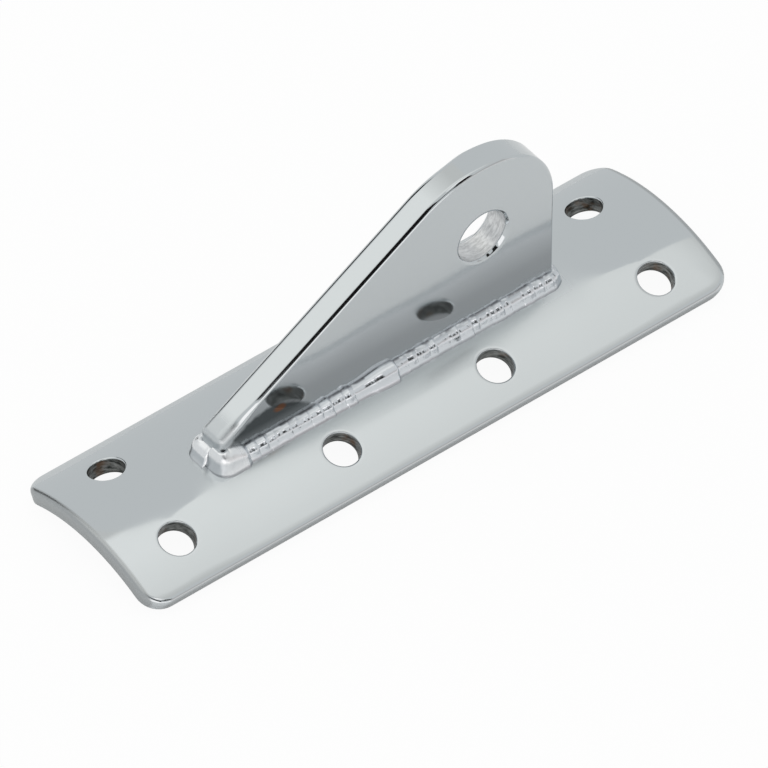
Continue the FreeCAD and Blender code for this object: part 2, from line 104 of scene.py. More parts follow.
def filled(outer, holes, spacing):
    """Even triangles between an outer outline and the outlines of the holes in it."""
    loops = [outer, *holes]
    points = [point for loop in loops for point in loop]
    edges = []
    start = 0
    for loop in loops:
        edges += [(start + i, start + (i + 1) % len(loop)) for i in range(len(loop))]
        start += len(loop)
    border = np.array(points)
    low, high = border.min(0), border.max(0)
    for x in np.arange(low[0] + spacing / 2, high[0], spacing):
        for y in np.arange(low[1] + spacing / 2, high[1], spacing):
            clear = np.hypot(*(border - (x, y)).T).min() > spacing * 0.55
            if clear and inside((x, y), outer) and not any(inside((x, y), hole) for hole in holes):
                points.append((x, y))
    corners, _, faces, origins, _, _ = delaunay_2d_cdt([Vector(p) for p in points], edges, [], 0, 1e-5)
    kept = []
    for face in faces:
        middle = sum((corners[i] for i in face), Vector((0, 0))) / 3
        if inside(middle, outer) and not any(inside(middle, hole) for hole in holes):
            kept.append([origins[i][0] for i in face])
    return points, kept


class Skin:
    """Collects a closed mesh from filled faces and from bands between outlines of equal count."""

    def __init__(self):
        self.points = []
        self.faces = []
        self.parts = []

    def add(self, points):
        first = len(self.points)
        self.points += points
        return list(range(first, len(self.points)))

    def band(self, one, other, part=0, closed=True):
        count = len(one)
        for i in range(count if closed else count - 1):
            j = (i + 1) % count
            self.faces.append((one[i], one[j], other[j], other[i]))
            self.parts.append(part)

    def fill(self, outer, holes, place, spacing):
        """Fills between outlines given as (flat points, their numbers in the mesh)."""
        points, triangles = filled(outer[0], [hole[0] for hole in holes], spacing)
        numbers = [number for loop in (outer, *holes) for number in loop[1]]
        numbers += self.add([place(*point) for point in points[len(numbers):]])
        for triangle in triangles:
            self.faces.append([numbers[i] for i in triangle])
            self.parts.append(0)

    def build(self, name, materials):
        mesh = bpy.data.meshes.new(name)
        mesh.from_pydata([Vector(point) * MM for point in self.points], [], self.faces)
        for material in materials:
            mesh.materials.append(material)
        mesh.polygons.foreach_set("material_index", self.parts)
        work = bmesh.new()
        work.from_mesh(mesh)
        bmesh.ops.recalc_face_normals(work, faces=work.faces)
        work.to_mesh(mesh)
        work.free()
        mesh.polygons.foreach_set("use_smooth", [True] * len(mesh.polygons))
        piece = bpy.data.objects.new(name, mesh)
        bpy.context.scene.collection.objects.link(piece)
        return piece


class Number:
    """A number in a node tree. Arithmetic on it adds Math nodes."""

    def __init__(self, nodes, socket):
        self.nodes = nodes
        self.socket = socket

    def __add__(self, other):
        return self.nodes.math("ADD", self, other)

    def __sub__(self, other):
        return self.nodes.math("SUBTRACT", self, other)

    def __rsub__(self, other):
        return self.nodes.math("SUBTRACT", other, self)

    def __mul__(self, other):
        return self.nodes.math("MULTIPLY", self, other)

    def __truediv__(self, other):
        return self.nodes.math("DIVIDE", self, other)

    def __pow__(self, other):
        return self.nodes.math("POWER", self, other)

    __radd__ = __add__


class Nodes:
    """Adds nodes to one tree."""

    def __init__(self, tree):
        self.tree = tree

    def add(self, kind, settings=None, sockets=None):
        node = self.tree.nodes.new(kind)
        for name, value in (settings or {}).items():
            setattr(node, name, value)
        for name, value in (sockets or {}).items():
            socket = node.inputs[name]
            source = value.socket if isinstance(value, Number) else value
            if isinstance(source, bpy.types.NodeSocket):
                self.tree.links.new(source, socket)
            else:
                socket.default_value = source
        return node

    def math(self, operation, *terms):
        node = self.add("ShaderNodeMath", {"operation": operation}, dict(enumerate(terms)))
        return Number(self, node.outputs[0])

    def number(self, node, output=0):
        return Number(self, node.outputs[output])

    def axes(self, place):
        """The three coordinates of a place."""
        parts = self.add("ShaderNodeSeparateXYZ", {}, {0: place})
        return [self.number(parts, axis) for axis in "XYZ"]

    def noise(self, place, scale, detail=2.0, roughness=0.5):
        node = self.add("ShaderNodeTexNoise", {},
                        {"Vector": place, "Scale": scale, "Detail": detail, "Roughness": roughness})
        return self.number(node)

    def span(self, value, low, high, to_low=0.0, to_high=1.0):
        """The value as it goes from low to high, held at both ends."""
        node = self.add("ShaderNodeMapRange", {"clamp": True},
                        {"Value": value, "From Min": low, "From Max": high,
                         "To Min": to_low, "To Max": to_high})
        return self.number(node)

    def mixed(self, share, first, second):
        """A colour between two colours."""
        node = self.add("ShaderNodeMix", {"data_type": "RGBA"}, {"Factor": share})
        for socket, value in ((node.inputs[6], first), (node.inputs[7], second)):
            if isinstance(value, bpy.types.NodeSocket):
                self.tree.links.new(value, socket)
            else:
                socket.default_value = (*value, 1.0)
        return node.outputs[2]


def new_steel(name, colour, roughness):
    """A metal with its constants on the shader's own sockets, its nodes and its own coordinates."""
    material = bpy.data.materials.new(name)
    material.use_nodes = True
    nodes = Nodes(material.node_tree)
    shader = material.node_tree.nodes["Principled BSDF"]
    shader.inputs["Base Color"].default_value = (*colour, 1.0)
    shader.inputs["Metallic"].default_value = 1.0
    shader.inputs["Roughness"].default_value = roughness
    place = nodes.add("ShaderNodeTexCoord").outputs["Object"]
    return material, nodes, shader, place


def bumped(nodes, shader, height, strength, distance):
    """Gives a metal a bumpy surface."""
    bump = nodes.add("ShaderNodeBump", {}, {"Strength": strength, "Distance": distance, "Height": height})
    nodes.tree.links.new(bump.outputs["Normal"], shader.inputs["Normal"])


def polished_steel(name):
    """Wheel-polished stainless, a near mirror with a slow unevenness. The caller links its roughness."""
    material, nodes, shader, place = new_steel(name, polished_tone, 0.1)
    bumped(nodes, shader, nodes.noise(place, 38.0, 1.0), 0.12, 0.002)
    return material, nodes, shader, place, 0.04 + nodes.noise(place, 45.0, 3.0) * 0.05


def plate_steel():
    """The saddle's polish, satin beside the welds, where no wheel reached, and rougher and darker in
    colour on the edges.
    """
    material, nodes, shader, place, roughness = polished_steel("polished_steel")
    x, y, z = (axis / MM for axis in nodes.axes(place))
    along = nodes.math("ABSOLUTE", x)
    across = nodes.math("ABSOLUTE", y)
    by_welds = nodes.span(across, *satin_across) * nodes.span(along, *satin_along)
    turn = nodes.math("ARCTAN2", across, z - (crown - outer_radius))
    edge = nodes.math("MAXIMUM", nodes.span(turn, *dull_side), nodes.span(along, *dull_end))
    roughness = roughness + by_welds * 0.2 + edge * 0.25
    material.node_tree.links.new(roughness.socket, shader.inputs["Roughness"])
    # The edges get a darker base colour as well as more roughness.
    colour = nodes.mixed(edge, polished_tone, darker_edge_tone)
    material.node_tree.links.new(colour, shader.inputs["Base Color"])
    return material


def drilled_steel():
    """The wall of a fixing hole, scored round by the drill, dull and stained, with a trace of rust. Its
    dark base colour is painted shade, standing for the shadowed table under the sheet that the wall
    reflects.
    """
    material, nodes, shader, place = new_steel("drilled_steel", (0.2, 0.2, 0.19), 0.35)
    turned = nodes.add("ShaderNodeMapping", {}, {"Vector": place, "Scale": (0.5, 0.5, 1.6)}).outputs[0]
    scoring = nodes.span(nodes.noise(turned, 1100.0, 4.0, 0.65), 0.36, 0.64)
    # Painted shade: both tones of the scoring are kept dark, standing for the shadowed table the wall
    # reflects.
    scoring_and_shade_tone = nodes.mixed(scoring, (0.035, 0.04, 0.036), (0.4, 0.41, 0.4))
    stain = nodes.span(nodes.noise(place, 330.0, 2.0), 0.56, 0.7)
    colour = nodes.mixed(stain * 0.55, scoring_and_shade_tone, (0.24, 0.11, 0.04))
    material.node_tree.links.new(colour, shader.inputs["Base Color"])
    return material


def edge_outline(inset, steps_along=124, steps_around=38, steps_corner=10):
    """The sheet's outline, moved inwards. It has the same number of points at every inset."""
    radius = corner_radius - inset
    side = half_length - corner_radius
    top = half_girth - corner_radius
    points = []
    quarters = ((side, top, 0), (-side, top, 90), (-side, -top, 180), (side, -top, 270))
    for number, (x, y, start) in enumerate(quarters):
        for step in range(steps_corner + 1):
            turn = math.radians(start + 90 * step / steps_corner)
            points.append((x + radius * math.cos(turn), y + radius * math.sin(turn)))
        steps = steps_along if number % 2 == 0 else steps_around
        next_x, next_y, next_start = quarters[(number + 1) % 4]
        turn = math.radians(next_start)
        end = Vector((next_x + radius * math.cos(turn), next_y + radius * math.sin(turn)))
        begin = Vector(points[-1])
        points += [tuple(begin.lerp(end, step / steps)) for step in range(1, steps)]
    return points


def blended(value, stops):
    """A size that changes smoothly between (place, size) stops."""
    for (start, first), (end, second) in zip(stops, stops[1:]):
        if value <= end:
            share = min(max((value - start) / (end - start), 0.0), 1.0)
            return first + (second - first) * share * share * (3 - 2 * share)
    return stops[-1][1]


def roll_off(x, y):
    """How far the polishing wheel has drawn the face down, by the distance from the sheet's outline."""
    dx = abs(x) - (half_length - corner_radius)
    dy = abs(y) - (half_girth - corner_radius)
    beyond = math.hypot(max(dx, 0), max(dy, 0)) + min(max(dx, dy), 0)
    distance = corner_radius - beyond
    return -polish_roll * math.exp(-max(distance, 0) / polish_roll_width)


def pulled(x, y):
    """How far the shrinking welds have bent each wing down beside the lug."""
    across = blended(abs(y), [(5.0, 0.0), (9.0, 1.0), (11.5, 1.0), (half_girth, 0.0)])
    along = blended(abs(x), [(weld_pull_reach, 1.0), (weld_pull_reach + weld_pull_fade, 0.0)])
    return -weld_pull * across * along


def face_height(x, y):
    return roll_off(x, y) + pulled(x, y)


def on_top(x, y):
    return rolled(x, y, face_height(x, y))


def on_underside(x, y):
    return rolled(x, y, -saddle_sheet)


def hole_outline(hole, radius, above=0.0, count=56):
    """A ring round a fixing hole, which is square to the rolled sheet."""
    centre_turn = math.atan2(hole["axis"][1], hole["axis"][2])
    along = hole["pos_m"][0] / MM
    points = []
    for step in range(count):
        turn = 2 * math.pi * step / count
        side = math.asin(radius * math.sin(turn) / (outer_radius + above))
        points.append((along + radius * math.cos(turn), outer_radius * (centre_turn + side)))
    return points


fixings = [mount for name, mount in mounts.items() if name.startswith("fixing_")]
plate = Skin()
edge_rings = []
for inset in face_insets:
    edge_rings.append(plate.add([on_top(*point) for point in edge_outline(inset)]))
for step in range(edge_steps + 1):
    turn = math.radians(90 * step / edge_steps)
    inset = top_edge_round * (1 - math.sin(turn))
    drop = top_edge_round * (1 - math.cos(turn))
    fade = 1 - step / edge_steps
    ring = [rolled(x, y, face_height(x, y) * fade - drop) for x, y in edge_outline(inset)]
    edge_rings.append(plate.add(ring))
for step in range(break_steps + 1):
    turn = math.radians(90 * step / break_steps)
    inset = under_edge_round * (1 - math.cos(turn))
    above = under_edge_round * (1 - math.sin(turn)) - saddle_sheet
    edge_rings.append(plate.add([rolled(x, y, above) for x, y in edge_outline(inset)]))
for one, other in zip(edge_rings, edge_rings[1:]):
    plate.band(one, other)

top_holes = []
under_holes = []
for hole in fixings:
    bore = hole["dims"]["r_mm"]
    rings = []
    for out in (0.7, 0.35):
        ring = hole_outline(hole, bore + fixing_break + out)
        rings.append((ring, plate.add([on_top(*point) for point in ring])))
    for step in range(break_steps + 1):
        turn = math.radians(90 * step / break_steps)
        radius = bore + fixing_break * (1 - math.sin(turn))
        above = -fixing_break * (1 - math.cos(turn))
        ring = hole_outline(hole, radius, above)
        rings.append((ring, plate.add([rolled(x, y, above + face_height(x, y)) for x, y in ring])))
    first_wall_band = len(rings) - 1
    for step in range(1, wall_steps + 1):
        above = -saddle_sheet * step / wall_steps
        ring = hole_outline(hole, bore, above)
        rings.append((ring, plate.add([rolled(x, y, above) for x, y in ring])))
    for number, (one, other) in enumerate(zip(rings, rings[1:])):
        plate.band(one[1], other[1], part=1 if number >= first_wall_band else 0)
    top_holes.append(rings[0])
    under_holes.append(rings[-1])
plate.fill((edge_outline(face_insets[0]), edge_rings[0]), top_holes, on_top, spacing=1.0)
plate.fill((edge_outline(under_edge_round), edge_rings[-1]), under_holes, on_underside, spacing=2.0)
saddle = plate.build("rolled_saddle", [plate_steel(), drilled_steel()])
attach(saddle, "root")
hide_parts("saddle_plate")

# Pin lug: an upright stainless plate, sawn to a long sloped top and a round head, with a drilled
# and bevelled pin hole. Its edges are lightly rounded, and the low toe's near corner was rubbed
# rounder on the wheel. Its foot runs into the saddle's crown.

half_lug = 2.75
heel_reach = 35.3
heel_round = 14.4
heel_round_rise = 21.7
shoulder_radius = 22.7
shoulder_turn = math.radians(78.8)
slope_angle = math.radians(31.9)
toe_reach = 36.5
toe_round = 1.65
head_edge_round = 0.5
rubbed_look = (-31.5, -34.0)
heat_along = -26.0
heat_half_width = 4.2
heat_height = 7.8
rust_place = (-23.5, 6.4)
rust_reach = (1.4, 0.8)
heat_tone = (0.09, 0.105, 0.11)
rust_tone = (0.3, 0.12, 0.05)
slope_edge_rounds = {-1: 0.8, 1: 1.25}
edge_fullness = 1.3
rubbed_toe_round = 1.7
rubbed_toe_end = -34.0
toe_blend_end = -28.0
slope_edge_end = 14.0
head_edge_start = 20.0
edge_support = 0.06
pin_break = 0.5
pin_break_turn = math.radians(40)
pin_mouth = ((1.6, 0), (1.1, 0), (1.0, 0.04), (0.94, 0.1), (0.08, 0.93), (0.0, 1.05), (0.0, 1.3))
foot_depth = 0.6


def lug_outline():
    """The lug seen from its side: points and the directions into the plate, from heel to toe."""
    outline = []

    def arc(centre, radius, start, end, steps):
        for step in range(steps + 1):
            turn = start + (end - start) * step / steps
            out = Vector((math.cos(turn), math.sin(turn)))
            outline.append((centre + radius * out, -out))

    def straight(start, end, into, steps):
        for step in range(1, steps):
            outline.append((start.lerp(end, step / steps), into))

    foot = crown - foot_depth
    heel_centre = Vector((heel_reach - heel_round, crown + heel_round_rise))
    out = Vector((math.cos(shoulder_turn), math.sin(shoulder_turn)))
    shoulder_centre = heel_centre - (shoulder_radius - heel_round) * out
    lean = math.radians(90) + slope_angle
    slope_out = Vector((math.cos(lean), math.sin(lean)))
    slope_top = shoulder_centre + shoulder_radius * slope_out
    nose_centre_x = -toe_reach + toe_round
    nose_tangent_x = nose_centre_x + toe_round * slope_out.x
    slope_fall = (slope_top.x - nose_tangent_x) * math.tan(slope_angle)
    slope_end = Vector((nose_tangent_x, slope_top.y - slope_fall))
    nose_centre = slope_end - toe_round * slope_out
    heel_foot = Vector((heel_reach, foot))
    toe_foot = Vector((-toe_reach, foot))
    outline.append((heel_foot, Vector((-1, 1))))
    straight(heel_foot, Vector((heel_reach, heel_centre.y)), Vector((-1, 0)), 16)
    arc(heel_centre, heel_round, 0, shoulder_turn, 40)
    outline.pop()
    arc(shoulder_centre, shoulder_radius, shoulder_turn, lean, 36)
    straight(slope_top, slope_end, -slope_out, 60)
    arc(nose_centre, toe_round, lean, math.pi, 10)
    straight(Vector((-toe_reach, nose_centre.y)), toe_foot, Vector((1, 0)), 6)
    outline.append((toe_foot, Vector((1, 1))))
    return outline


def edge_size(point, side):
    """The rounding of the lug's edge: wider along the slope, and widest on the near side of the toe."""
    slope = slope_edge_rounds[side]
    toe = rubbed_toe_round if side < 0 else slope
    return blended(point.x, [(rubbed_toe_end, toe), (toe_blend_end, slope), (slope_edge_end, slope),
                             (head_edge_start, head_edge_round)])


def lug_ring(side, turn, past_face=0.0, past_rim=0.0):
    """One line along the lug's rim, at a turn of its rounded edge from the face to the rim."""
    ring = []
    for point, into in lug_outline():
        size = edge_size(point, side)
        power = 2 / (edge_fullness + (2 - edge_fullness) * (size - head_edge_round) / rubbed_toe_round)
        inset = min(size, toe_round - 0.2) * (1 - math.sin(turn) ** power) + past_face
        flat = point + into * inset
        across = side * (half_lug - size * (1 - math.cos(turn) ** power) - past_rim)
        ring.append((flat.x, across, flat.y))
    return ring


lug = Skin()
pin = mounts["pin_hole"]
pin_along = pin["pos_m"][0] / MM
pin_height = pin["pos_m"][2] / MM
pin_radius = pin["dims"]["r_mm"]
edge_turns = [math.radians(90 * step / edge_steps) for step in range(edge_steps + 1)]


def edge_rows(side):
    """The rounded edge from face to rim, with an extra line on each flat to keep it looking flat."""
    rows = [lug_ring(side, 0.0, past_face=edge_support)]
    rows += [lug_ring(side, turn) for turn in edge_turns]
    rows.append(lug_ring(side, edge_turns[-1], past_rim=edge_support))
    return [lug.add(row) for row in rows]


near_rings = edge_rows(-1)
far_rings = edge_rows(1)
rim = near_rings + far_rings[::-1]
for one, other in zip(rim, rim[1:]):
    lug.band(one, other, closed=False)
foot_rows = [[ring[0] for ring in rim], [ring[-1] for ring in rim]]
lug.band(foot_rows[0], foot_rows[1], closed=False)


def pin_ring(side, out, depth, count=96):
    """A ring at the pin hole's mouth, whose hand-cut bevel is wide only low on the heel side."""
    ring = []
    for step in range(count):
        turn = 2 * math.pi * step / count
        width = pin_break * (0.25 + 0.75 * max(math.cos(turn + pin_break_turn), 0.0))
        radius = pin_radius + width * out + (out if out > 1 else 0.0) * 0.3
        ring.append((pin_along + radius * math.cos(turn), side * (half_lug - depth * width),
                     pin_height + radius * math.sin(turn)))
    return ring


pin_rims = {}
for side in (-1, 1):
    rings = [pin_ring(side, out, depth) for out, depth in pin_mouth]
    numbers = [lug.add(ring) for ring in rings]
    for one, other in zip(numbers, numbers[1:]):
        lug.band(one, other)
    pin_rims[side] = numbers[-1]
    face_ring = near_rings[0] if side < 0 else far_rings[0]
    face_outline = [(x, z) for x, _, z in lug_ring(side, 0.0, past_face=edge_support)]
    pin_outline = [(x, z) for x, _, z in rings[0]]
    lug.fill((face_outline, face_ring), [(pin_outline, numbers[0])],
             lambda x, z: (x, side * half_lug, z), spacing=2.5)
lug.band(pin_rims[-1], pin_rims[1], part=1)


def lug_steel():
    """The lug's polish, softer on its faces, satin at the toe and stained over the near toe weld."""
    material, nodes, shader, place, roughness = polished_steel("lug_steel")
    x, y, z = (axis / MM for axis in nodes.axes(place))
    on_face = nodes.span(nodes.math("ABSOLUTE", y), half_lug - 0.07, half_lug - 0.02)
    roughness = roughness + on_face * 0.02 + nodes.span(x, *rubbed_look) * 0.3
    material.node_tree.links.new(roughness.socket, shader.inputs["Roughness"])
    patchy = nodes.noise(place, 700.0, 3.0) - 0.5
    near_side = nodes.span(y, 0.35 - half_lug, 0.05 - half_lug)
    up = z - crown
    heat_top = heat_height - ((x - heat_along) / heat_half_width) ** 2.0
    heat = nodes.span(up - heat_top + patchy * 1.2, 0.4, -0.5)
    heat = heat * nodes.span(up, 3.0, 5.0, 0.6, 0.95) * near_side
    rust_along = ((x - rust_place[0]) / rust_reach[0]) ** 2.0
    rust_up = ((up - rust_place[1]) / rust_reach[1]) ** 2.0
    rust = nodes.span(rust_along + rust_up + patchy * 2.0, 1.2, 0.4) * near_side
    stained = nodes.mixed(heat, polished_tone, heat_tone)
    stained = nodes.mixed(rust * 0.8, stained, rust_tone)
    material.node_tree.links.new(stained, shader.inputs["Base Color"])
    return material


def bored_steel():
    """The pin hole's wall, brighter than the fixing holes and scored round by the drill."""
    material, nodes, shader, place = new_steel("bored_steel", (0.62, 0.64, 0.66), 0.3)
    turned = nodes.add("ShaderNodeMapping", {}, {"Vector": place, "Scale": (0.5, 1.6, 0.5)}).outputs[0]
    scratches = nodes.noise(turned, 1300.0, 4.0, 0.7)
    colour = nodes.mixed(nodes.span(scratches, 0.3, 0.6), (0.46, 0.47, 0.48), (0.78, 0.79, 0.8))
    material.node_tree.links.new(colour, shader.inputs["Base Color"])
    bumped(nodes, shader, scratches, 0.4, 0.0001)
    return material


upright = lug.build("upright_lug", [lug_steel(), bored_steel()])
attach(upright, "root")
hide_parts("pin_lug")

# Weld runs: four fillet beads laid by hand along the lug's foot and electropolished bright. Each
# toe run wraps the low end, then steps along in overlapping ripples to a thick stop. Each heel run
# starts under that stop and turns round the upright heel edge.

weld_drop = 0.3
toe_roots = {-1: 0.4, 1: 1.4}
nose_roots = {-1: 1.7, 1: 0.8}
heel_root = 1.4
toe_bead = 3.3
toe_bead_length = 3.3
toe_bead_blend = 0.6
toe_run_bead = 2.75
cap_start_bead = 2.65
cap_start_blend = 2.0
cap_bead = 3.15
cap_length = 8.4
cap_grown = 3.0
cap_lift = 1.1
cap_end = 1.3
cap_nose = 1.3
heel_start = -0.4
heel_run_bead = 3.1
heel_spread = 1.12
toe_meeting = 0.9
toe_bead_lift = {-1: 1.36, 1: 1.2}
toe_run_lift = 1.05
toe_lift_blend = 3.5
toe_calm = 0.15
cap_calm = 0.1
ripple_pitch = 2.3
ripple_rise = 0.3
ripple_sweep = 1.6
toe_seeds = {-1: 5, 1: 11}
heel_seeds = {-1: 23, 1: 31}
rubbed_weld = (-30.0, -33.0)
toe_shade_start = (-33.5, -31.0)
heel_shade_end = (36.0, 34.5)
shelf_across = (3.6, 3.3)
crease_shade_across = (3.2, 2.9)
weld_tone = (0.68, 0.71, 0.745)
toe_weld_tone = (0.8, 0.82, 0.84)
shelf_shade_tone = (0.52, 0.55, 0.585)
crease_shade_tone = (0.22, 0.23, 0.25)
row_step = 0.1
corner_steps = 40
heel_corner_steps = 30
heel_end_steps = 15
profile_steps = 44
bead_section = ((-0.4, 0.88), (0.0, 0.94), (0.35, 0.814), (0.49, 0.74), (0.67, 0.605), (0.72, 0.45),
                (0.82, 0.22), (1.0, -0.02), (1.05, -0.25))
seam_height = crown - outer_radius + math.sqrt(outer_radius ** 2 - half_lug ** 2) - weld_drop


def rounded_section():
    """The bead's shelf, ridge and hollow flank, as even steps of (share out, share up)."""
    points = [Vector(point) for point in bead_section]
    for _ in range(3):
        cut = [points[0]]
        for one, other in zip(points, points[1:]):
            cut += [one.lerp(other, 0.25), one.lerp(other, 0.75)]
        points = cut + [points[-1]]
    lengths = np.cumsum([0.0] + [(other - one).length for one, other in zip(points, points[1:])])
    places = np.linspace(0.0, lengths[-1], profile_steps + 1)
    outs = np.interp(places, lengths, [point.x for point in points])
    ups = np.interp(places, lengths, [point.y for point in points])
    return list(zip(outs.tolist(), ups.tolist()))


def bead_rows(path, roots, spread, size_at, lift_at):
    """Rows across a bead: path gives centre, outward direction and length run so far.

    The roots are how far the centre lies behind the lug's end and its side.
    """
    section = rounded_section()
    rows = []
    for centre, out, run in path:
        face = abs(out.x) * roots[0] + abs(out.y) * roots[1]
        size = size_at(run)
        row = []
        for share_out, share_up in section:
            reach = max(face + (size * spread - face) * share_out, 0.05)
            row.append((centre.x + out.x * reach, centre.y + out.y * reach,
                        seam_height + size * lift_at(run) * share_up))
        rows.append((row, run))
    return rows


def toe_path(side):
    """From the middle of the toe, round its corner and along the lug to the stop."""
    centre_x = -toe_reach + nose_roots[side]
    run = 0.0
    path = []
    across = half_lug - toe_roots[side]
    first = -side * toe_meeting
    steps = max(int((across - first) / row_step), 2)
    for step in range(steps):
        y = side * (first + (across - first) * step / steps)
        path.append((Vector((centre_x, y)), Vector((-1, 0)), run))
        run += (across - first) / steps
    for step in range(corner_steps):
        turn = math.radians(90 * step / corner_steps)
        out = Vector((-math.cos(turn), side * math.sin(turn)))
        path.append((Vector((centre_x, side * across)), out, run))
        run += toe_bead * math.radians(90) / corner_steps
    length = cap_end - centre_x
    steps = int(length / row_step)
    for step in range(steps + 1):
        x = centre_x + length * step / steps
        path.append((Vector((x, side * across)), Vector((0, side)), run))
        run += length / steps
    return path


def heel_path(side):
    """From under the stop, along the lug, round the upright heel edge and to the middle of the heel."""
    across = half_lug - heel_root
    corner_x = heel_reach - heel_root
    length = corner_x - heel_start
    run = 0.0
    path = []
    steps = int(length / row_step)
    for step in range(steps):
        x = heel_start + length * step / steps
        path.append((Vector((x, side * across)), Vector((0, side)), run))
        run += length / steps
    for step in range(heel_corner_steps + 1):
        turn = math.radians(90 * step / heel_corner_steps)
        out = Vector((math.sin(turn), side * math.cos(turn)))
        path.append((Vector((corner_x, side * across)), out, run))
        run += heel_run_bead * math.radians(90) / heel_corner_steps
    for step in range(1, heel_end_steps + 1):
        y = side * across * (1 - step / heel_end_steps)
        path.append((Vector((corner_x, y)), Vector((1, 0)), run))
        run += across / heel_end_steps
    return path


def weld_steel():
    """Weld metal, bright and uneven, brightest at the toe. Painted shade darkens its upper shelf, broken
    dashes in the crease along the lug, and its foot along the saddle.
    """
    material, nodes, shader, place = new_steel("weld_steel", weld_tone, 0.13)
    x, y, z = (axis / MM for axis in nodes.axes(place))
    across = nodes.math("ABSOLUTE", y)
    rubbed = nodes.span(x, *rubbed_weld)
    material.node_tree.links.new((0.13 + rubbed * 0.15).socket, shader.inputs["Roughness"])
    beside = nodes.span(x, *toe_shade_start) * nodes.span(x, *heel_shade_end)
    # Painted shade: the bead's upper shelf beside the lug is given a darker colour, toning down the
    # bright light it reflects.
    shelf = nodes.span(across, *shelf_across) * beside
    # Painted shade: broken dark dashes in the crease where the bead meets the lug's face.
    broken = nodes.span(nodes.noise(place, 450.0, 2.0), 0.42, 0.55)
    crease = nodes.span(across, *crease_shade_across) * broken * beside
    # Painted shade: the bead's foot is darkened in colour where it meets the saddle.
    foot = nodes.span(z, crown + 0.25, crown - 0.1, 0.0, 0.7)
    colour = nodes.mixed(rubbed, weld_tone, toe_weld_tone)
    colour = nodes.mixed(shelf, colour, shelf_shade_tone)
    colour = nodes.mixed(nodes.math("MAXIMUM", crease, foot), colour, crease_shade_tone)
    material.node_tree.links.new(colour, shader.inputs["Base Color"])
    bumped(nodes, shader, nodes.noise(place, 1500.0, 3.0), 0.1, 0.0002)
    return material


def ripple_tree():
    """Lays overlapping ripples of uneven length and height on a bead, by the length run along it."""
    tree = bpy.data.node_groups.new("weld_ripples", "GeometryNodeTree")
    tree.interface.new_socket("Geometry", in_out="INPUT", socket_type="NodeSocketGeometry")
    for name, kind in (("Pitch", "NodeSocketFloat"), ("Rise", "NodeSocketFloat"),
                       ("Sweep", "NodeSocketFloat"), ("Seed", "NodeSocketInt"),
                       ("Material", "NodeSocketMaterial")):
        tree.interface.new_socket(name, in_out="INPUT", socket_type=kind)
    tree.interface.new_socket("Geometry", in_out="OUTPUT", socket_type="NodeSocketGeometry")
    nodes = Nodes(tree)
    given = nodes.add("NodeGroupInput")
    pitch, rise, sweep, seed = (nodes.number(given, name) for name in ("Pitch", "Rise", "Sweep", "Seed"))

    def stored(name):
        node = nodes.add("GeometryNodeInputNamedAttribute", {"data_type": "FLOAT"}, {"Name": name})
        return nodes.number(node)

    run = stored("run")
    profile = stored("profile")
    calm = stored("ripple")
    along_bead = nodes.add("ShaderNodeCombineXYZ", {}, {"X": run * 0.45, "Y": seed}).outputs[0]
    wander = nodes.add("ShaderNodeTexNoise", {"noise_dimensions": "2D"},
                       {"Vector": along_bead, "Scale": 1.0, "Detail": 2.0})
    count = (run - sweep * (profile - 0.5) ** 2.0) / pitch + nodes.number(wander) * 1.3
    ripple = nodes.math("FLOOR", count)
    share = nodes.math("FRACT", count)

    def chance(low, high, offset):
        node = nodes.add("FunctionNodeRandomValue", {"data_type": "FLOAT"},
                         {2: low, 3: high, "ID": ripple, "Seed": seed + offset})
        return nodes.number(node, 1)

    hump = share * nodes.span(share, 1.0, 0.7) * chance(0.5, 1.15, 3) ** 2.0
    on_ridge = nodes.span(nodes.math("ABSOLUTE", profile - 0.45), 0.3, 0.1, 0.3, 1.0)
    lean = (profile - 0.5) * chance(-0.3, 0.3, 7)
    place = nodes.add("GeometryNodeInputPosition").outputs[0]
    lumps = nodes.noise(place, 420.0, 2.0) - 0.5
    lift = ((hump - 0.4) * on_ridge + lean + chance(-0.1, 0.1, 13) + lumps * 0.6) * rise * calm
    offset = nodes.add("ShaderNodeVectorMath", {"operation": "SCALE"},
                       {0: nodes.add("GeometryNodeInputNormal").outputs[0], "Scale": lift * MM})
    moved = nodes.add("GeometryNodeSetPosition", {},
                      {"Geometry": given.outputs["Geometry"], "Offset": offset.outputs[0]})
    whole = nodes.add("GeometryNodeRealizeInstances", {}, {"Geometry": moved.outputs[0]})
    painted = nodes.add("GeometryNodeSetMaterial", {},
                        {"Geometry": whole.outputs[0], "Material": given.outputs["Material"]})
    nodes.add("NodeGroupOutput", {}, {"Geometry": painted.outputs[0]})
    return tree


ripples = ripple_tree()
weld_metal = weld_steel()


